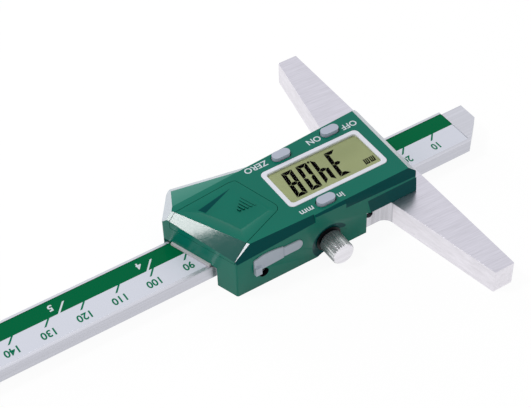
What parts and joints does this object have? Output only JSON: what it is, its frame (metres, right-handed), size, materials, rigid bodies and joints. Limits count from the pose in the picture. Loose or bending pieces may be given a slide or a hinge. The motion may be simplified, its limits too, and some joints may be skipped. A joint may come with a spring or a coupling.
{
  "type": "digital depth gauge",
  "caption": "Digital depth gauge: a sliding scaled beam through a steel T-shaped base, with a moulded display housing, buttons, lock screw and battery cover.",
  "frame": {"origin": "centre of the reference face, the narrow steel face of the base that is set on the work", "axes": "+X out of the reference face, the way the beam is pushed out; +Z out of the display; the gauge lies on its back"},
  "size_m": [0.232, 0.1, 0.0167],
  "materials": {
    "base_steel": "stainless steel, ground with fine straight grain",
    "beam_steel": "stainless steel, satin ground rails",
    "plate_steel": "stainless sheet, satin",
    "screw_steel": "plain steel screws",
    "knob_steel": "nickel plated, straight knurl",
    "gib_brass": "plain brass strip",
    "grid_laminate": "glass-epoxy strip with a copper grid",
    "scale_print": "printed film, green and white with marks",
    "green_plastic": "semi-gloss moulded green plastic",
    "grey_plastic": "satin moulded grey plastic",
    "grey_rubber": "soft moulded grey elastomer",
    "white_plastic": "smooth white plastic",
    "black_plastic": "plain black plastic",
    "board_laminate": "green coated glass-epoxy board",
    "contact_rubber": "layered conductive rubber",
    "display_glass": "reflective liquid crystal panel with dark segments",
    "window_clear": "clear window",
    "cell_steel": "plain nickel plated can",
    "gold_contact": "gold plated spring contacts"
  },
  "bodies": {
    "gauge_base": {"base_frame": "base_steel", "rear_plate": "plate_steel", "plate_screws": "screw_steel", "gib_strip": "gib_brass", "gib_screws": "screw_steel", "lock_washer": "black_plastic", "housing": "green_plastic", "housing_screws": "screw_steel", "circuit_board": "board_laminate", "sensor_board": "board_laminate", "controller_chip": "black_plastic", "key_switches": "black_plastic", "lcd_holder": "black_plastic", "zebra_strips": "contact_rubber", "lcd_panel": "display_glass", "lcd_window": "window_clear", "lcd_frame": "white_plastic", "battery_tray": "black_plastic", "coin_cell": "cell_steel", "contact_positive": "gold_contact", "contact_negative": "gold_contact", "port_strap": "grey_rubber", "port_contacts": "gold_contact", "end_wiper": "white_plastic"},
    "sliding_beam": {"beam": "beam_steel", "scale_grid": "grid_laminate", "scale_label": "scale_print", "end_stop": "plate_steel", "end_stop_screws": "screw_steel"},
    "lock": {"lock_screw": "knob_steel"},
    "cover": {"battery_cover": "green_plastic"},
    "zero_key": {"zero_button": "grey_plastic"},
    "power_key": {"power_button": "grey_plastic"},
    "unit_key": {"unit_button": "grey_plastic"},
    "port_flap": {"port_cover": "grey_rubber"}
  },
  "joints": [
    {"name": "beam_slide", "type": "slide", "parent": "gauge_base", "child": "sliding_beam", "axis": [1, 0, 0], "range_m": [-0.02725, 0.12275]},
    {"name": "lock_turn", "type": "hinge", "parent": "gauge_base", "child": "lock", "pos_m": [-0.0325, -0.0212, 0.0005], "axis": [0, -1, 0], "range_deg": [0, 360]},
    {"name": "cover_slide", "type": "slide", "parent": "gauge_base", "child": "cover", "axis": [-0.9444, -0.3289, 0], "range_m": [0, 0.028]},
    {"name": "zero_press", "type": "slide", "parent": "gauge_base", "child": "zero_key", "axis": [0, 0, -1], "range_m": [0, 0.0005], "stiffness_N_per_m": 300, "springref_m": -0.0005},
    {"name": "power_press", "type": "slide", "parent": "gauge_base", "child": "power_key", "axis": [0, 0, -1], "range_m": [0, 0.0005], "stiffness_N_per_m": 300, "springref_m": -0.0005},
    {"name": "unit_press", "type": "slide", "parent": "gauge_base", "child": "unit_key", "axis": [0, 0, -1], "range_m": [0, 0.0005], "stiffness_N_per_m": 300, "springref_m": -0.0005},
    {"name": "port_open", "type": "hinge", "parent": "gauge_base", "child": "port_flap", "pos_m": [-0.0472, -0.0152, 0.006], "axis": [0, 0, 1], "range_deg": [0, 100]}
  ]
}
